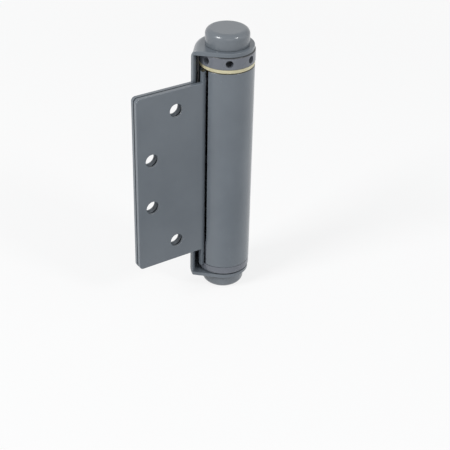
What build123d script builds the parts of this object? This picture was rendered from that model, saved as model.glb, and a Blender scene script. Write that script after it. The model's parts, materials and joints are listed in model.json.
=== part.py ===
"""Single-acting spring hinge: two sheet leaves, a rolled spring barrel and an adjusting collar.

Millimetres. The origin is on the pin axis at mid-height, +Z runs up the pin towards the collar,
both leaves lie closed towards -X, and the door leaf faces -Y.
"""

import os
from math import acos, atan2, cos, degrees, hypot, radians, sin, sqrt, tan

from build123d import *

# Sheet and leaves
sheet = 2.1  # thickness of both leaves
door_standoff = 0.8  # pin axis to the door leaf's inner face
frame_standoff = 0.15  # pin axis to the frame leaf's inner face
leaf_reach = 54.7  # pin axis to the leaves' free edges
leaf_height = 100.0
leaf_corner = 2.2
edge_break = 0.3  # soft edge that the press and the enamel leave

# Screw holes, the same in both leaves
hole_radius = 3.6
sink_depth = 0.9  # 90 degree countersink on the faces that meet
outer_hole_inset = 22.9  # free edge to the pair nearer the barrel
outer_hole_margin = 11.3  # leaf's end to that pair
inner_hole_inset = 8.5  # free edge to the other pair
inner_hole_z = 13.9

# Rolled barrel
barrel_radius = 14.3
rim_round = 0.6  # barrel's upper and lower rims
root_bend = 3.2  # centre line radius of the bend from leaf to barrel
slit_angle = 196.2  # where the rolled sheet ends, beside the leaf

# Frame leaf: slanted wall, back cover and ears
cover_play = 0.35  # collar to the cover's inner face
wall_slant = 52.0  # degrees that the sheet bends away from the leaf
crease_bend = 1.85  # centre line radius of that bend
cover_end = 95.2  # angle of the cover's free edge
ear_height = 67.2  # outer face of each ear, from mid-height
ear_step = 0.4  # ear's round nose inside the barrel's surface
ear_bend = 0.4  # inner radius where an ear folds from the wall
ear_crown = 4.0  # outer radius there, where the sheet is drawn thin
ear_hole_play = 0.05

# Adjusting collar
collar_step = 0.15  # collar's radius over the barrel's
collar_height = 6.4
collar_edge = 0.6
stack_play = 0.1  # left under the upper ear
hub_room = 0.8  # hub to the inside of the coil
hub_length = 12.1
hub_flat_depth = 1.3  # of the flat on the hub's end
hub_flat_length = 5.0
bar_hole_radius = 1.95
bar_hole_count = 7
bar_hole_depth = 7.0
pin_lead = 7.8  # degrees from the cover's free edge to the hole with the tension pin

# Tension pin, a rolled spring pin
pin_play = 0.05
pin_wall = 0.8
pin_slit = 0.7
pin_proud = 5.2  # stands out of the collar

# Bearings
flange_height = 2.1
upper_sleeve = 4.4
running_play = 0.06
seat_play = 0.05
lower_flange_height = 0.8
lower_flange_step = 1.6  # flange's radius inside the plug's
lower_sleeve_wall = 1.6
lower_sleeve = 9.0

# Barrel plug
plug_step = 0.1  # plug's radius inside the barrel's surface
plug_flange_height = 4.0
plug_boss_length = 14.0
plug_edge = 0.5
key_lead = 4.9  # degrees from the rolled sheet's end to the key, in the slit
key_width = 1.0
key_step = 1.0  # key's end inside the barrel's surface

# Spindle, retaining rings and caps
spindle_radius = 4.0
spindle_end = 72.6
spindle_chamfer = 0.6
ring_thickness = 1.0
ring_radius = 6.4
ring_slot = 2.6
groove_depth = 0.5
groove_play = 0.05
cap_step = 2.5  # cap's radius inside the ear's
cap_height = 8.3
cap_round = 3.0
cap_rim = 0.3
ring_room = 0.3  # space round a retaining ring inside its cap

# Torsion spring and its upper anchor
wire_radius = 1.6
coil_room = 0.7  # coil to the barrel's bore
turn_gap = 0.5  # least gap between turns
coil_play = 0.1  # at each end of the coil
elbow_swell = 0.03  # wire's radius grows by this where it bends into a leg
leg_length = 3.6
leg_play = 0.15
anchor_room = 0.4  # anchor to the barrel's bore

# Sizes that follow
half_leaf = leaf_height / 2
door_mid = -door_standoff - sheet / 2
frame_mid = frame_standoff + sheet / 2
roll_mid = barrel_radius - sheet / 2
barrel_bore = barrel_radius - sheet
coil_radius = barrel_bore - coil_room - wire_radius
anchor_radius = barrel_bore - anchor_room
hub_radius = coil_radius - wire_radius - hub_room
hub_flat = hub_radius - hub_flat_depth
collar_radius = barrel_radius + collar_step
plug_radius = barrel_radius - plug_step
lower_flange_radius = plug_radius - lower_flange_step
key_reach = barrel_radius - key_step
key_angle = slit_angle - key_lead
ear_radius = barrel_radius - ear_step
cap_radius = ear_radius - cap_step
cover_inner = collar_radius + cover_play
cover_mid = cover_inner + sheet / 2
ear_inside = ear_height - sheet
collar_top = ear_inside - stack_play
collar_bottom = collar_top - collar_height
hub_end = collar_bottom - hub_length
bar_hole_z = (collar_top + collar_bottom) / 2
barrel_top = collar_bottom - flange_height
plug_bottom = -ear_inside + lower_flange_height
barrel_bottom = plug_bottom + plug_flange_height
boss_top = barrel_bottom + plug_boss_length
boss_radius = barrel_bore - seat_play
spindle_bore = spindle_radius + running_play
leg_radius = wire_radius + leg_play
pin_radius = bar_hole_radius - pin_play
pin_angle = cover_end - pin_lead
outer_hole_x = outer_hole_inset - leaf_reach
outer_hole_z = half_leaf - outer_hole_margin
inner_hole_x = inner_hole_inset - leaf_reach
hole_places = [
    (outer_hole_x, outer_hole_z),
    (inner_hole_x, inner_hole_z),
    (inner_hole_x, -inner_hole_z),
    (outer_hole_x, -outer_hole_z),
]


def on_circle(radius, angle):
    """Point on a circle about the pin axis."""
    return (radius * cos(radians(angle)), radius * sin(radians(angle)))


# Where the door leaf's root leaves the flat and meets the roll
root_x = -sqrt((roll_mid + root_bend) ** 2 - (door_mid + root_bend) ** 2)
roll_start = degrees(atan2(door_mid + root_bend, root_x))

# Where the frame leaf's slanted wall leaves the flat and meets the cover
tangent_angle = 90 + wall_slant
tangent_point = on_circle(cover_mid, tangent_angle)
corner_x = tangent_point[0] - (tangent_point[1] - frame_mid) / tan(radians(wall_slant))
crease_x = corner_x - crease_bend * tan(radians(wall_slant / 2))


def leaf_outline(end_x):
    """A flat leaf seen from the front, from its free edge to end_x, with its four holes."""
    with BuildSketch() as outline:
        with Locations((end_x, 0)):
            Rectangle(leaf_reach + end_x, leaf_height, align=(Align.MAX, Align.CENTER))
        fillet(outline.vertices().sort_by(Axis.X)[:2], leaf_corner)
        with Locations(*hole_places):
            Circle(hole_radius, mode=Mode.SUBTRACT)
    return outline.sketch


def sink_locations(face_y, facing):
    """Places of the countersinks, looking out of the face that meets the other leaf."""
    return [Location(Plane(origin=(x, face_y, z), z_dir=(0, facing, 0))) for x, z in hole_places]


door_outline = leaf_outline(root_x)
frame_outline = leaf_outline(crease_x)

with BuildPart() as door_leaf:
    with BuildSketch(Plane.XZ.offset(-door_mid)):
        add(door_outline)
    extrude(amount=sheet / 2, both=True)
    outer_rims = door_leaf.faces().sort_by(Axis.Y)[0].edges()
    fillet(outer_rims.filter_by(lambda e: e.center().X < root_x - sheet), edge_break)
    with Locations(*sink_locations(door_mid + sheet / 2, 1)):
        CounterSinkHole(hole_radius, hole_radius + sink_depth, sheet)
    with BuildSketch(Plane.XY.offset(barrel_bottom)):
        with BuildLine():
            bend = CenterArc((root_x, door_mid + root_bend), root_bend, -90, roll_start - 90)
            CenterArc((0, 0), roll_mid, roll_start, slit_angle - 360 - roll_start)
        trace(line_width=sheet)
    extrude(amount=barrel_top - barrel_bottom)
    rims = door_leaf.edges().filter_by(GeomType.CIRCLE).filter_by(
        lambda e: abs(e.radius - barrel_radius) < edge_break / 10)
    fillet(rims, rim_round)
door_leaf.part.label = "door_leaf"

# One ear with its fold, built at the upper end and mirrored
slant = radians(wall_slant)
slant_start = (crease_x + crease_bend * sin(slant), frame_mid + crease_bend * (1 - cos(slant)))
slant_length = hypot(tangent_point[0] - slant_start[0], tangent_point[1] - slant_start[1])
wall_top = ear_inside - ear_bend

crease_centre = (crease_x, frame_mid + crease_bend)

# Outline of an ear inside its fold: straight to the round nose on both sides
fold_inset = sheet / 2 + ear_bend
nose_corner = (crease_x, frame_mid - fold_inset)
ear_tangent = (tangent_point[0] + fold_inset * sin(slant), tangent_point[1] - fold_inset * cos(slant))
ear_end = on_circle(cover_mid - fold_inset, cover_end)
nose_start = cover_end - degrees(acos(ear_radius / (cover_mid - fold_inset)))
nose_end = degrees(atan2(nose_corner[1], nose_corner[0])) + degrees(acos(ear_radius / hypot(*nose_corner)))


def fold_ring(inner_x):
    """Quarter ring where the wall folds into an ear, with the fold's centre at inner_x."""
    with BuildSketch() as ring:
        with BuildLine():
            outer = CenterArc((inner_x, 0), ear_bend + sheet, 0, 90)
            inner = CenterArc((inner_x, 0), ear_bend, 0, 90)
            Line(outer @ 0, inner @ 0)
            Line(outer @ 1, inner @ 1)
        make_face()
    return ring.sketch


def beside_nose(point):
    """True on an ear's front and right outline, clear of its spindle hole and its fold."""
    return hypot(point.X, point.Y) > 2 * spindle_radius and point.Y < point.X + ear_radius / 2


def fold_waste(outer_x, past):
    """What is drawn away outside a fold, from the wall's outer face at outer_x to past it."""
    with BuildSketch() as waste:
        with BuildLine():
            crown = CenterArc((outer_x - ear_crown, ear_height - wall_top - ear_crown), ear_crown, 0, 90)
            Polyline(crown @ 0, (outer_x + past, ear_height - wall_top - ear_crown),
                     (outer_x + past, ear_height - wall_top + sheet),
                     (outer_x - ear_crown, ear_height - wall_top + sheet), crown @ 1)
        make_face()
    return waste.sketch


outward = (-sin(slant), cos(slant), 0)
heading = (cos(slant), sin(slant), 0)
crease_section = Plane(origin=(crease_x, frame_mid, wall_top), x_dir=(0, 1, 0), z_dir=(1, 0, 0))
slant_section = Plane(origin=(*slant_start, wall_top), x_dir=outward, z_dir=heading)
cover_section = Plane(origin=(0, 0, wall_top), x_dir=(*on_circle(1, tangent_angle), 0), z_dir=heading)
slant_ring = fold_ring(-fold_inset)
cover_ring = fold_ring(cover_mid - fold_inset)
crease_waste = fold_waste(sheet / 2, (crease_bend - sheet / 2) / 2)
slant_waste = fold_waste(sheet / 2, sheet)
cover_waste = fold_waste(cover_mid + sheet / 2, sheet)

with BuildPart() as ear:
    with BuildSketch(Plane.XY.offset(ear_inside)):
        with BuildLine():
            turn = CenterArc(crease_centre, crease_bend + fold_inset, -90, wall_slant)
            Line(turn @ 1, ear_tangent)
            CenterArc((0, 0), cover_mid - fold_inset, tangent_angle, cover_end - tangent_angle)
            Line(ear_end, on_circle(ear_radius, nose_start))
            CenterArc((0, 0), ear_radius, nose_start, nose_end - 360 - nose_start)
            Line(on_circle(ear_radius, nose_end), nose_corner)
        make_face()
        Circle(spindle_radius + ear_hole_play, mode=Mode.SUBTRACT)
    extrude(amount=sheet)
    top_edges = ear.edges().filter_by(lambda e: e.center().Z > ear_height - sheet / 10)
    nose_edges = top_edges.filter_by(lambda e: beside_nose(e @ 0.5))
    fillet(nose_edges, edge_break)
    with BuildSketch(crease_section):
        add(slant_ring)
    revolve(axis=Axis((*crease_centre, 0), (0, 0, 1)), revolution_arc=wall_slant)
    with BuildSketch(slant_section):
        add(slant_ring)
    extrude(amount=slant_length)
    with BuildSketch(cover_section):
        add(cover_ring)
    revolve(axis=Axis((0, 0, 0), (0, 0, -1)), revolution_arc=tangent_angle - cover_end)

with BuildPart() as crown_waste:
    with BuildSketch(crease_section):
        add(crease_waste)
    revolve(axis=Axis((*crease_centre, 0), (0, 0, 1)), revolution_arc=wall_slant)
    with BuildSketch(slant_section):
        add(slant_waste)
    extrude(amount=slant_length)
    with BuildSketch(cover_section):
        add(cover_waste)
    revolve(axis=Axis((0, 0, 0), (0, 0, -1)), revolution_arc=tangent_angle - cover_end)

with BuildPart() as frame_leaf:
    with BuildSketch(Plane.XZ.offset(-frame_mid)):
        add(frame_outline)
    extrude(amount=sheet / 2, both=True)
    outer_rims = frame_leaf.faces().sort_by(Axis.Y)[-1].edges()
    fillet(outer_rims.filter_by(lambda e: e.center().X < crease_x - sheet), edge_break)
    with Locations(*sink_locations(frame_mid - sheet / 2, -1)):
        CounterSinkHole(hole_radius, hole_radius + sink_depth, sheet)
    with BuildSketch(Plane.XY.offset(-wall_top)):
        with BuildLine():
            CenterArc(crease_centre, crease_bend, -90, wall_slant)
            Line(slant_start, tangent_point)
            CenterArc((0, 0), cover_mid, tangent_angle, cover_end - tangent_angle)
        trace(line_width=sheet)
    extrude(amount=2 * wall_top)
    add(ear.part)
    add(mirror(ear.part, about=Plane.XY, mode=Mode.PRIVATE))
    add(crown_waste.part, mode=Mode.SUBTRACT)
    add(mirror(crown_waste.part, about=Plane.XY, mode=Mode.PRIVATE), mode=Mode.SUBTRACT)
frame_leaf.part.label = "frame_leaf"

with BuildPart() as adjusting_collar:
    with BuildSketch(Plane.XY.offset(collar_bottom)):
        Circle(collar_radius)
    extrude(amount=collar_height)
    fillet(adjusting_collar.edges().sort_by(Axis.Z)[-1], collar_edge)
    fillet(adjusting_collar.edges().sort_by(Axis.Z)[0], edge_break)
    with BuildSketch(Plane.XY.offset(hub_end)):
        Circle(hub_radius)
        with Locations((hub_flat, 0)):
            Rectangle(hub_radius, 2 * hub_radius, align=(Align.MIN, Align.CENTER), mode=Mode.SUBTRACT)
    extrude(amount=hub_flat_length)
    with BuildSketch(Plane.XY.offset(hub_end + hub_flat_length)):
        Circle(hub_radius)
    extrude(amount=hub_length - hub_flat_length)
    with BuildSketch(Plane.XY.offset(hub_end)):
        Circle(spindle_bore)
    extrude(amount=collar_top - hub_end, mode=Mode.SUBTRACT)
    for index in range(bar_hole_count):
        bearing = pin_angle + index * 360 / bar_hole_count
        mouth = Plane(origin=(*on_circle(collar_radius, bearing), bar_hole_z), z_dir=(*on_circle(1, bearing), 0))
        with Locations(Location(mouth)):
            Hole(bar_hole_radius, depth=bar_hole_depth)
adjusting_collar.part.label = "adjusting_collar"

with BuildPart() as tension_pin:
    with BuildSketch(Plane(origin=(*on_circle(collar_radius + pin_proud, pin_angle), bar_hole_z),
                           x_dir=(0, 0, 1), z_dir=(*on_circle(1, pin_angle), 0))):
        Circle(pin_radius)
        Circle(pin_radius - pin_wall, mode=Mode.SUBTRACT)
        Rectangle(2 * pin_radius, pin_slit, align=(Align.MIN, Align.CENTER), mode=Mode.SUBTRACT)
    extrude(amount=-(pin_proud + bar_hole_depth - seat_play))
tension_pin.part.label = "tension_pin"

with BuildPart() as upper_spring_anchor:
    with BuildSketch(Plane.XY.offset(hub_end)):
        Circle(anchor_radius)
        Circle(hub_radius + seat_play, mode=Mode.SUBTRACT)
        with BuildSketch(mode=Mode.PRIVATE) as flat_fill:
            Circle(hub_radius + seat_play)
            with Locations((hub_flat + seat_play, 0)):
                Rectangle(2 * hub_radius, 3 * hub_radius, align=(Align.MAX, Align.CENTER), mode=Mode.SUBTRACT)
        add(flat_fill.sketch)
        with Locations((coil_radius, 0)):
            Circle(leg_radius, mode=Mode.SUBTRACT)
    extrude(amount=hub_flat_length)
upper_spring_anchor.part.label = "upper_spring_anchor"

with BuildPart() as upper_bush:
    with BuildSketch(Plane.XY.offset(barrel_top)):
        Circle(barrel_radius)
    extrude(amount=flange_height)
    fillet(upper_bush.edges().sort_by(Axis.Z)[-1], edge_break)
    fillet(upper_bush.edges().sort_by(Axis.Z)[0], rim_round)
    with BuildSketch(Plane.XY.offset(barrel_top)):
        Circle(barrel_bore - seat_play)
    extrude(amount=-upper_sleeve)
    with BuildSketch(Plane.XY.offset(collar_bottom)):
        Circle(hub_radius + running_play)
    extrude(amount=-(flange_height + upper_sleeve), mode=Mode.SUBTRACT)
upper_bush.part.label = "upper_bush"

with BuildPart() as lower_bush:
    with BuildSketch(Plane.XY.offset(-ear_inside)):
        Circle(lower_flange_radius)
    extrude(amount=lower_flange_height)
    with BuildSketch(Plane.XY.offset(plug_bottom)):
        Circle(spindle_bore + lower_sleeve_wall)
    extrude(amount=lower_sleeve)
    with BuildSketch(Plane.XY.offset(-ear_inside)):
        Circle(spindle_bore)
    extrude(amount=lower_flange_height + lower_sleeve, mode=Mode.SUBTRACT)
lower_bush.part.label = "lower_bush"

with BuildPart() as barrel_plug:
    with BuildSketch(Plane.XY.offset(plug_bottom)):
        Circle(plug_radius)
    extrude(amount=plug_flange_height)
    fillet(barrel_plug.edges().sort_by(Axis.Z)[0], plug_edge)
    with BuildSketch(Plane.XY.offset(barrel_bottom)):
        Circle(boss_radius)
        with Locations(Location((0, 0, 0), (0, 0, key_angle))):
            Rectangle(key_reach, key_width, align=(Align.MIN, Align.CENTER))
    extrude(amount=plug_boss_length)
    with BuildSketch(Plane.XY.offset(plug_bottom)):
        Circle(spindle_bore + lower_sleeve_wall + seat_play)
    extrude(amount=lower_sleeve, mode=Mode.SUBTRACT)
    with BuildSketch(Plane.XY.offset(boss_top)):
        Circle(spindle_bore + running_play)
    extrude(amount=-(boss_top - plug_bottom), mode=Mode.SUBTRACT)
    with BuildSketch(Plane.XY.offset(boss_top)):
        with Locations((coil_radius, 0)):
            Circle(leg_radius)
    extrude(amount=-(leg_length + leg_play), mode=Mode.SUBTRACT)
barrel_plug.part.label = "barrel_plug"

coil_start = boss_top + wire_radius + coil_play
coil_end = hub_end - wire_radius - coil_play
coil_height = coil_end - coil_start
coil_turns = int(coil_height / (2 * wire_radius + turn_gap))
with BuildPart() as torsion_spring:
    with BuildLine() as coil_line:
        coil = Helix(pitch=coil_height / coil_turns, height=coil_height, radius=coil_radius,
                     center=(0, 0, coil_start))
    with BuildSketch(Plane(origin=coil @ 0, z_dir=coil % 0)):
        Circle(wire_radius)
    sweep(path=coil_line.line, is_frenet=True)
    for corner_z, leg_end in ((coil_start, boss_top - leg_length), (coil_end, hub_end + leg_length)):
        with Locations((coil_radius, 0, corner_z)):
            Sphere(wire_radius + elbow_swell)
        with BuildSketch(Plane.XY.offset(corner_z)):
            with Locations((coil_radius, 0)):
                Circle(wire_radius)
        extrude(amount=leg_end - corner_z)
torsion_spring.part.label = "torsion_spring"

with BuildPart() as spindle:
    with BuildSketch(Plane.XY.offset(-spindle_end)):
        Circle(spindle_radius)
    extrude(amount=2 * spindle_end)
    chamfer(spindle.edges().filter_by(GeomType.CIRCLE), spindle_chamfer)
    for low in (ear_height - groove_play, -ear_height - ring_thickness - groove_play):
        with BuildSketch(Plane.XY.offset(low)):
            Circle(spindle_radius)
            Circle(spindle_radius - groove_depth, mode=Mode.SUBTRACT)
        extrude(amount=ring_thickness + 2 * groove_play, mode=Mode.SUBTRACT)
spindle.part.label = "spindle"

with BuildPart() as upper_retaining_ring:
    with BuildSketch(Plane.XY.offset(ear_height)):
        Circle(ring_radius)
        Circle(spindle_radius - groove_depth + seat_play, mode=Mode.SUBTRACT)
        Rectangle(2 * ring_radius, ring_slot, align=(Align.MIN, Align.CENTER), mode=Mode.SUBTRACT)
    extrude(amount=ring_thickness)
upper_retaining_ring.part.label = "upper_retaining_ring"

with BuildPart() as upper_cap:
    with BuildSketch(Plane.XY.offset(ear_height)):
        Circle(cap_radius)
    extrude(amount=cap_height)
    fillet(upper_cap.edges().sort_by(Axis.Z)[-1], cap_round)
    fillet(upper_cap.edges().sort_by(Axis.Z)[0], cap_rim)
    with BuildSketch(Plane.XY.offset(ear_height)):
        Circle(ring_radius + ring_room)
    extrude(amount=ring_thickness + ring_room, mode=Mode.SUBTRACT)
    with BuildSketch(Plane.XY.offset(ear_height)):
        Circle(spindle_radius + seat_play)
    extrude(amount=spindle_end - ear_height + seat_play, mode=Mode.SUBTRACT)
upper_cap.part.label = "upper_cap"

with BuildPart() as lower_retaining_ring:
    mirror(upper_retaining_ring.part, about=Plane.XY)
lower_retaining_ring.part.label = "lower_retaining_ring"

with BuildPart() as lower_cap:
    mirror(upper_cap.part, about=Plane.XY)
lower_cap.part.label = "lower_cap"

pieces = [
    frame_leaf, door_leaf, spindle, upper_retaining_ring, lower_retaining_ring, upper_cap, lower_cap,
    adjusting_collar, upper_spring_anchor, tension_pin, upper_bush, lower_bush, barrel_plug, torsion_spring,
]
os.makedirs("parts", exist_ok=True)
for piece in pieces:
    export_step(piece.part, f"parts/{piece.part.label}.step")
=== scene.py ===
# Spring hinge in grey enamel, closed and standing on its lower cap
import json
from math import cos, radians, sin

import bmesh
import bpy
from mathutils import Matrix, Vector


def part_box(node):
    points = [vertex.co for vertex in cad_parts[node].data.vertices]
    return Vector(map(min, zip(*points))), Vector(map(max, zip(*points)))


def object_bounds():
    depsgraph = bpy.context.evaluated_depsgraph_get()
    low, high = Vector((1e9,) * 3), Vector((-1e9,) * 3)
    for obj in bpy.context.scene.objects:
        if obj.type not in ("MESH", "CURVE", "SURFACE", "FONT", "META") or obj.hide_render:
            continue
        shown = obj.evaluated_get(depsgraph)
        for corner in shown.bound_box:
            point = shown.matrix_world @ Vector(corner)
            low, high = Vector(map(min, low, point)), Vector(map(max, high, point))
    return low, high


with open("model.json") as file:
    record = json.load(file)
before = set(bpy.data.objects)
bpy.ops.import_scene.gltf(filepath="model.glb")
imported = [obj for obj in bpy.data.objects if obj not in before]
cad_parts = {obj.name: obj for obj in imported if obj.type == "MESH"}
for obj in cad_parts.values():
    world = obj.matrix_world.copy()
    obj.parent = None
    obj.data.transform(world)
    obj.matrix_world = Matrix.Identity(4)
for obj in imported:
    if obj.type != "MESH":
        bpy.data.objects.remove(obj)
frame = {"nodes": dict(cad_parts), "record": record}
nodes = frame["nodes"]
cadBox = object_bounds()
print("frame loaded:", len(nodes), "nodes")

# A Mix node's sockets go by number, because several share a name. Math nodes and shader mixes take
# theirs in order.
mixFactor, mixValueA, mixValueB, mixColourA, mixColourB = 0, 2, 3, 6, 7
mixedValue, mixedColour = 0, 2

noiseSpan = (0.3, 0.7)  # nearly all of a noise texture's values lie between these


def hexToLinear(text):  # "#7A8187" by the sRGB curve as the linear colour that a shader takes
    channels = [int(text[i:i + 2], 16) / 255 for i in (1, 3, 5)]
    return [c / 12.92 if c <= 0.04045 else ((c + 0.055) / 1.055) ** 2.4 for c in channels] + [1.0]


def perMetre(millimetres):  # texture scale whose features are this wide
    return 1000.0 / millimetres


def addNode(tree, kind, inputs=None, **settings):  # one node, with values or links for its sockets
    node = tree.nodes.new(kind)
    for name, value in settings.items():
        setattr(node, name, value)
    for name, value in (inputs or {}).items():
        socket = node.inputs[name]
        if isinstance(value, bpy.types.NodeSocket):
            tree.links.new(value, socket)
        else:
            socket.default_value = value
    return node


def newMaterial(name):
    material = bpy.data.materials.new(name)
    material.use_nodes = True
    tree = material.node_tree
    tree.nodes.clear()
    place = addNode(tree, "ShaderNodeTexCoord").outputs["Object"]
    return material, tree, place


def driftingColour(tree, place, finish):  # two tones that run into each other
    drift = addNode(tree, "ShaderNodeTexNoise", {
        "Vector": place, "Scale": perMetre(finish["toneWidth"]), "Detail": finish["toneDetail"],
        "Roughness": finish["toneCoarseness"]})
    tone = addNode(tree, "ShaderNodeValToRGB", {"Fac": drift.outputs["Fac"]})
    for stop, position, colour in zip(tone.color_ramp.elements, finish["toneSpan"], finish["tones"]):
        stop.position = position
        stop.color = hexToLinear(colour)
    return tone.outputs["Color"]


# Baked grey enamel: a levelled paint film over pressed steel. The eye gets a cool grey with a clear gloss,
# a faint orange peel that breaks up the highlights, long shallow waves that the rolling left, slow drifts
# of tone and a few dust nibs under the film. Where a piece sits close under another, shade is painted
# as a dark band along its upper edge.
def makeEnamel(name, paint):
    material, tree, place = newMaterial(name)
    nibs = addNode(tree, "ShaderNodeTexVoronoi", {
        "Vector": place, "Scale": perMetre(paint["nibSpacing"]), "Randomness": 1.0})
    nib = addNode(tree, "ShaderNodeMapRange", {
        "Value": nibs.outputs["Distance"], "From Min": 0.0, "From Max": paint["nibSize"],
        "To Min": 1.0, "To Max": 0.0}, interpolation_type="SMOOTHSTEP").outputs["Result"]
    colour = addNode(tree, "ShaderNodeMix", {
        mixFactor: nib, mixColourA: driftingColour(tree, place, paint),
        mixColourB: hexToLinear(paint["nibColour"])}, data_type="RGBA").outputs[mixedColour]
    # Painted shade: darker from a little below the piece's upper edge up to it, where another part sits
    # close above
    if paint["paintedShadeEdge"]:
        faint, full = (paint["paintedShadeEdge"] - below / 1000 for below in paint["paintedShadeBelow"])
        height = addNode(tree, "ShaderNodeSeparateXYZ", {"Vector": place}).outputs["Z"]
        paintedShade = addNode(tree, "ShaderNodeMapRange", {
            "Value": height, "From Min": faint, "From Max": full}, interpolation_type="SMOOTHSTEP")
        colour = addNode(tree, "ShaderNodeMix", {
            mixFactor: paintedShade.outputs["Result"], mixColourA: colour,
            mixColourB: hexToLinear(paint["paintedShadeColour"])}, data_type="RGBA").outputs[mixedColour]

    gloss = addNode(tree, "ShaderNodeTexNoise", {
        "Vector": place, "Scale": perMetre(paint["glossWidth"]), "Detail": 2.0})
    roughness = addNode(tree, "ShaderNodeMapRange", {
        "Value": gloss.outputs["Fac"], "From Min": noiseSpan[0], "From Max": noiseSpan[1],
        "To Min": paint["roughness"][0], "To Max": paint["roughness"][1]})

    stretched = addNode(tree, "ShaderNodeMapping", {"Vector": place, "Scale": paint["waveStretch"]})
    wave = addNode(tree, "ShaderNodeTexNoise", {
        "Vector": stretched.outputs["Vector"], "Scale": perMetre(paint["waveWidth"]), "Detail": 1.0})
    rolled = addNode(tree, "ShaderNodeBump", {
        "Height": wave.outputs["Fac"], "Strength": paint["waveStrength"],
        "Distance": paint["waveDepth"] / 1000})
    peel = addNode(tree, "ShaderNodeTexNoise", {
        "Vector": place, "Scale": perMetre(paint["peelWidth"]), "Detail": 1.5, "Roughness": 0.4})
    film = addNode(tree, "ShaderNodeMath", {0: nib, 1: paint["nibHeight"], 2: peel.outputs["Fac"]},
                   operation="MULTIPLY_ADD")
    bump = addNode(tree, "ShaderNodeBump", {
        "Height": film.outputs["Value"], "Strength": paint["peelStrength"],
        "Distance": paint["peelDepth"] / 1000, "Normal": rolled.outputs["Normal"]})
    shader = addNode(tree, "ShaderNodeBsdfPrincipled", {
        "Base Color": colour, "Roughness": roughness.outputs["Result"], "IOR": paint["ior"],
        "Normal": bump.outputs["Normal"]})
    addNode(tree, "ShaderNodeOutputMaterial", {"Surface": shader.outputs["BSDF"]})
    return material


# Widths, spacings and depths are in millimetres. The peel is drawn deeper than in life, so that it shows.
enamel = {
    "tones": ("#646B72", "#6A7178"), "toneWidth": 24.0, "toneDetail": 3.0, "toneCoarseness": 0.55,
    "toneSpan": noiseSpan,
    "nibColour": "#7D848A", "nibSpacing": 9.0, "nibSize": 0.035,  # size as a share of the spacing
    "nibHeight": 0.6,  # as a share of the peel's depth
    "peelWidth": 1.6, "peelDepth": 0.03, "peelStrength": 0.4,
    "waveWidth": 7.0, "waveStretch": (1.0, 1.0, 0.08), "waveDepth": 0.10, "waveStrength": 0.5,
    "glossWidth": 6.0, "roughness": (0.18, 0.26), "ior": 1.52,
    "paintedShadeEdge": None, "paintedShadeColour": "#2F3133",
}
# The barrel's dark top band is painted shade under the nylon washer, in a grease-brown tone
barrelEnamel = dict(
    enamel,
    paintedShadeEdge=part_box("door_leaf")[1][2], paintedShadeBelow=(0.5, 0.25), paintedShadeColour="#35332A")
capEnamel = dict(
    enamel, tones=("#676D73", "#6B7177"), toneWidth=12.0, roughness=(0.15, 0.20), waveDepth=0.03)
# The collar's dark top band is painted shade, under the ear that sits just above it
collarEnamel = dict(
    enamel, tones=("#666A72", "#6B6F77"), toneWidth=9.0, roughness=(0.22, 0.30), waveDepth=0.03,
    paintedShadeEdge=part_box("adjusting_collar")[1][2], paintedShadeBelow=(0.65, 0.2))


# Moulded nylon: unpigmented and slightly waxy, so its edge glows a little and its tone clouds
# from cream to ivory, with painted shade in a brown grease tone along the rim's upper and lower edges.
def makeNylon(name, nylon):
    material, tree, place = newMaterial(name)
    rimLow, rimHigh = nylon["rim"]
    halfRim = (rimHigh - rimLow) / 2
    height = addNode(tree, "ShaderNodeSeparateXYZ", {"Vector": place}).outputs["Z"]
    above = addNode(tree, "ShaderNodeMath", {0: height, 1: (rimLow + rimHigh) / 2}, operation="SUBTRACT")
    fromMiddle = addNode(tree, "ShaderNodeMath", {0: above.outputs["Value"]}, operation="ABSOLUTE")
    # Painted shade: both rim edges darken to a brown grease tone, where the washer meets the barrel below
    # and the collar above
    paintedEdgeShade = addNode(tree, "ShaderNodeMapRange", {
        "Value": fromMiddle.outputs["Value"], "From Min": halfRim - nylon["paintedEdgeShadeWidth"] / 1000,
        "From Max": halfRim}, interpolation_type="SMOOTHSTEP")
    colour = addNode(tree, "ShaderNodeMix", {
        mixFactor: paintedEdgeShade.outputs["Result"], mixColourA: driftingColour(tree, place, nylon),
        mixColourB: hexToLinear(nylon["paintedEdgeShadeColour"])}, data_type="RGBA")

    grain = addNode(tree, "ShaderNodeTexNoise", {
        "Vector": place, "Scale": perMetre(nylon["grainWidth"]), "Detail": 2.0})
    bump = addNode(tree, "ShaderNodeBump", {
        "Height": grain.outputs["Fac"], "Strength": nylon["grainStrength"],
        "Distance": nylon["grainDepth"] / 1000})
    shader = addNode(tree, "ShaderNodeBsdfPrincipled", {
        "Base Color": colour.outputs[mixedColour], "Roughness": nylon["roughness"], "IOR": nylon["ior"],
        "Subsurface Weight": nylon["glow"], "Subsurface Radius": nylon["glowReach"],
        "Subsurface Scale": nylon["glowDepth"] / 1000, "Normal": bump.outputs["Normal"]})
    addNode(tree, "ShaderNodeOutputMaterial", {"Surface": shader.outputs["BSDF"]})
    return material


nylon = {
    "tones": ("#BDB592", "#CEC8AB"), "toneWidth": 7.0, "toneDetail": 3.0, "toneCoarseness": 0.5,
    "toneSpan": (0.32, 0.68),
    "grainWidth": 0.5, "grainDepth": 0.02, "grainStrength": 0.4, "roughness": 0.45, "ior": 1.53,
    "glow": 0.12, "glowDepth": 0.8, "glowReach": (1.0, 0.8, 0.5),  # red light gets furthest
    "rim": (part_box("door_leaf")[1][2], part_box("upper_bush")[1][2]),  # lies on the barrel's upper end
    "paintedEdgeShadeWidth": 0.25, "paintedEdgeShadeColour": "#3A3428",
}


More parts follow.
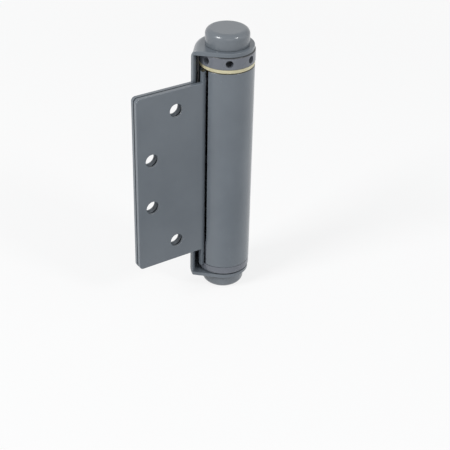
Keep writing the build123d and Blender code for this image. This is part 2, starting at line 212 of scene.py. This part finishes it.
# Bare or plated steel: the eye gets fine streaks in the gloss, left by the tool or the die,
# and a tone that wanders a little with the tarnish. The streaks are coarser than in life, so that they show.
def makeSteel(name, steel):
    material, tree, place = newMaterial(name)
    stretched = addNode(tree, "ShaderNodeMapping", {"Vector": place, "Scale": steel["lineStretch"]})
    lines = addNode(tree, "ShaderNodeTexNoise", {
        "Vector": stretched.outputs["Vector"], "Scale": perMetre(steel["lineWidth"]), "Detail": 3.0})
    roughness = addNode(tree, "ShaderNodeMapRange", {
        "Value": lines.outputs["Fac"], "From Min": noiseSpan[0], "From Max": noiseSpan[1],
        "To Min": steel["roughness"][0], "To Max": steel["roughness"][1]})
    bump = addNode(tree, "ShaderNodeBump", {
        "Height": lines.outputs["Fac"], "Strength": steel["lineStrength"],
        "Distance": steel["lineDepth"] / 1000})
    shader = addNode(tree, "ShaderNodeBsdfPrincipled", {
        "Base Color": driftingColour(tree, place, steel), "Metallic": 1.0,
        "Roughness": roughness.outputs["Result"], "Normal": bump.outputs["Normal"]})
    addNode(tree, "ShaderNodeOutputMaterial", {"Surface": shader.outputs["BSDF"]})
    return material


turnedSteel = {  # bright, with flat rings from the lathe
    "tones": ("#A9A9AA", "#C4C4C6"), "toneWidth": 5.0, "toneDetail": 4.0, "toneCoarseness": 0.5,
    "toneSpan": noiseSpan,
    "lineStretch": (0.15, 0.15, 1.0), "lineWidth": 0.4, "lineDepth": 0.01, "lineStrength": 0.35,
    "roughness": (0.24, 0.36),
}
springWire = dict(  # tempered in oil: nearly black, with a dull sheen
    turnedSteel, tones=("#2C2D30", "#3C3D41"), lineStretch=(1.0, 1.0, 1.0), lineWidth=0.8,
    roughness=(0.38, 0.5))
zincPlate = dict(  # thin bright plating: pale and a little bluish, and glossier than the steel
    turnedSteel, tones=("#C3C6CA", "#DADCDF"), lineStretch=(1.0, 1.0, 1.0), lineWidth=0.6,
    roughness=(0.16, 0.28))

slotFinish = {
    "leaf_enamel": makeEnamel("bakedGreyEnamelOnSteel", enamel),
    "cap_enamel": makeEnamel("bakedGreyEnamelOnCap", capEnamel),
    "collar_enamel": makeEnamel("bakedGreyEnamelOnCollar", collarEnamel),
    "nylon": makeNylon("mouldedCreamNylon", nylon),
    "bright_steel": makeSteel("turnedSteel", turnedSteel),
    "spring_steel": makeSteel("oilTemperedSpringWire", springWire),
    "zinc_pin": makeSteel("brightZincPlate", zincPlate),
}
pieceFinish = {"door_leaf": makeEnamel("bakedGreyEnamelOnRolledBarrel", barrelEnamel)}
for part in frame["record"]["subparts"]:
    mesh = nodes[part["node"]].data
    mesh.materials.clear()
    mesh.materials.append(pieceFinish.get(part["node"], slotFinish[part["material_slot"]]))
print("finishes:", len(slotFinish) + len(pieceFinish))


def outward(turn, height):  # direction from the pin axis: degrees round from -Y, degrees above level
    a, e = radians(turn), radians(height)
    return Vector((sin(a) * cos(e), -cos(a) * cos(e), sin(e)))


# Matt white table: it takes a faint shadow round the hinge and runs out into plain white further off.
# The enamel's gloss sees it as white, with a painted reflection of dark surroundings towards the camera.
def makeTable(tableTop, cameraBearing):
    shape = bmesh.new()
    bmesh.ops.create_grid(shape, x_segments=1, y_segments=1, size=tableTop["half"])
    bmesh.ops.translate(shape, vec=(0, 0, tableTop["height"]), verts=shape.verts)
    mesh = bpy.data.meshes.new("table")
    shape.to_mesh(mesh)
    shape.free()
    table = bpy.data.objects.new("table", mesh)
    bpy.context.scene.collection.objects.link(table)

    material, tree, place = newMaterial("mattWhiteTable")
    distance = addNode(tree, "ShaderNodeVectorMath", {0: place}, operation="LENGTH").outputs["Value"]
    plain = addNode(tree, "ShaderNodeMapRange", {
        "Value": distance, "From Min": tableTop["plainFrom"], "From Max": tableTop["plainTo"],
        "To Min": tableTop["plainNear"]}, interpolation_type="SMOOTHSTEP")
    shade = addNode(tree, "ShaderNodeMapRange", {
        "Value": distance, "From Min": tableTop["shadeFrom"], "From Max": tableTop["shadeTo"],
        "To Min": tableTop["shadeTones"][0], "To Max": tableTop["shadeTones"][1]})
    heading = addNode(tree, "ShaderNodeVectorMath", {0: place}, operation="NORMALIZE")
    facing = addNode(tree, "ShaderNodeVectorMath", {
        0: heading.outputs["Vector"], 1: outward(cameraBearing + tableTop["darkTurn"], 0)},
        operation="DOT_PRODUCT")
    # Painted reflection: in the gloss the table turns dark towards the camera, darkest close to the hinge
    dark = addNode(tree, "ShaderNodeMapRange", {
        "Value": facing.outputs["Value"], "From Min": tableTop["darkFrom"],
        "From Max": tableTop["darkTo"]}, interpolation_type="SMOOTHSTEP")
    paintedReflectionTone = addNode(tree, "ShaderNodeMix", {
        mixFactor: dark.outputs["Result"], mixValueA: 1.0, mixValueB: shade.outputs["Result"]})

    ray = addNode(tree, "ShaderNodeLightPath")
    inMirror = addNode(tree, "ShaderNodeMath", {
        0: ray.outputs["Is Glossy Ray"], 1: ray.outputs["Is Transmission Ray"]}, use_clamp=True)
    inView = addNode(tree, "ShaderNodeMath", {
        0: ray.outputs["Is Camera Ray"], 1: plain.outputs["Result"]}, operation="MULTIPLY")
    share = addNode(tree, "ShaderNodeMath", {
        0: inView.outputs["Value"], 1: inMirror.outputs["Value"]}, use_clamp=True)
    tone = addNode(tree, "ShaderNodeMix", {
        mixFactor: inMirror.outputs["Value"], mixValueA: 1.0,
        mixValueB: paintedReflectionTone.outputs[mixedValue]})
    matt = addNode(tree, "ShaderNodeBsdfDiffuse", {"Color": hexToLinear(tableTop["colour"])})
    white = addNode(tree, "ShaderNodeEmission", {
        "Color": hexToLinear("#FFFFFF"), "Strength": tone.outputs[mixedValue]})
    shader = addNode(tree, "ShaderNodeMixShader", {
        0: share.outputs["Value"], 1: matt.outputs["BSDF"], 2: white.outputs["Emission"]})
    addNode(tree, "ShaderNodeOutputMaterial", {"Surface": shader.outputs["Shader"]})
    mesh.materials.append(material)


tableTop = {
    "height": cadBox[0][2], "half": 3.0, "colour": "#F4F4F4",
    "plainNear": 0.80, "plainFrom": 0.35, "plainTo": 0.9,  # share of plain white, then metres away
    "darkTurn": 25, "darkFrom": 0.2, "darkTo": 0.85,  # degrees from the camera, then cosines
    "shadeFrom": 0.04, "shadeTo": 0.26, "shadeTones": (0.12, 0.8),  # metres away, tones at the two
}


# White surround: plain white to the camera and in the gloss, but a softer light on the hinge
def makeSurround(surround):
    world = bpy.data.worlds.new("whiteSurround")
    bpy.context.scene.world = world
    world.use_nodes = True
    tree = world.node_tree
    tree.nodes.clear()
    ray = addNode(tree, "ShaderNodeLightPath")
    seen = addNode(tree, "ShaderNodeMath", {
        0: ray.outputs["Is Camera Ray"], 1: ray.outputs["Is Glossy Ray"]})
    seen = addNode(tree, "ShaderNodeMath", {
        0: seen.outputs["Value"], 1: ray.outputs["Is Transmission Ray"]}, use_clamp=True)
    soft = addNode(tree, "ShaderNodeBackground", {
        "Color": hexToLinear(surround["colour"]), "Strength": surround["strength"]})
    white = addNode(tree, "ShaderNodeBackground", {"Color": hexToLinear("#FFFFFF"), "Strength": 1.0})
    mix = addNode(tree, "ShaderNodeMixShader", {
        0: seen.outputs["Value"], 1: soft.outputs["Background"], 2: white.outputs["Background"]})
    addNode(tree, "ShaderNodeOutputWorld", {"Surface": mix.outputs["Shader"]})


surround = {"colour": "#E9ECEF", "strength": 0.40}


# Soft square lights, all turned towards the hinge's middle
def makeLights(lights, cameraBearing):
    for name, turn, height, distance, size, power in lights:
        lamp = bpy.data.lights.new(name, "AREA")
        lamp.shape = "SQUARE"
        lamp.size = size
        lamp.energy = power
        lit = bpy.data.objects.new(name, lamp)
        out = outward(cameraBearing + turn, height)
        lit.location = out * distance
        lit.rotation_euler = out.to_track_quat("Z", "Y").to_euler()
        bpy.context.scene.collection.objects.link(lit)


lights = [  # name, degrees from the camera's bearing, degrees up, metres away, metres wide, watts
    ("leftBox", -54, 38, 2.2, 0.7, 30),
    ("rightBox", 54, 38, 2.2, 0.45, 12),
    ("frontPanel", 10, 20, 2.2, 1.4, 4),
    ("sidePanel", 88, 18, 2.0, 1.6, 4),
]


# Camera at the photograph's place: above the door leaf's face, turned towards the free edges
def makeCamera(view):
    back = outward(view["bearing"], view["height"])
    a, r = radians(view["bearing"]), radians(view["roll"])
    level = Vector((cos(a), sin(a), 0))
    upright = back.cross(level)
    right = cos(r) * level + sin(r) * upright
    up = cos(r) * upright - sin(r) * level
    metresPerPixel = view["distance"] / view["focalPixels"]
    aside = (view["pinAxisPixel"][0] - view["imagePixels"] / 2) * metresPerPixel
    raised = (view["imagePixels"] / 2 - view["pinAxisPixel"][1]) * metresPerPixel
    data = bpy.data.cameras.new("camera")
    data.sensor_fit = "HORIZONTAL"
    data.sensor_width = view["sensor"]
    data.lens = view["focalPixels"] / view["imagePixels"] * view["sensor"]
    data.clip_start = view["nearest"]
    camera = bpy.data.objects.new("camera", data)
    bpy.context.scene.collection.objects.link(camera)
    turned = Matrix((right, up, back)).transposed().to_4x4()
    turned.translation = view["distance"] * back - aside * right - raised * up
    camera.matrix_world = turned
    bpy.context.scene.camera = camera


view = {
    "bearing": -33.83, "height": 32.383, "roll": 1.274,  # degrees
    "distance": 0.60805, "nearest": 0.01,  # metres from the hinge's middle, and where the view starts
    "imagePixels": 450, "focalPixels": 1139.15,  # width of the photograph, and focal length in its pixels
    "pinAxisPixel": (224.897, 159.882),  # where the hinge's middle is in it, from its upper left corner
    "sensor": 36.0,
}

makeTable(tableTop, view["bearing"])
makeSurround(surround)
makeLights(lights, view["bearing"])
makeCamera(view)
bpy.context.scene.view_settings.view_transform = "Standard"
print("table, surround,", len(lights), "lights and camera in place")
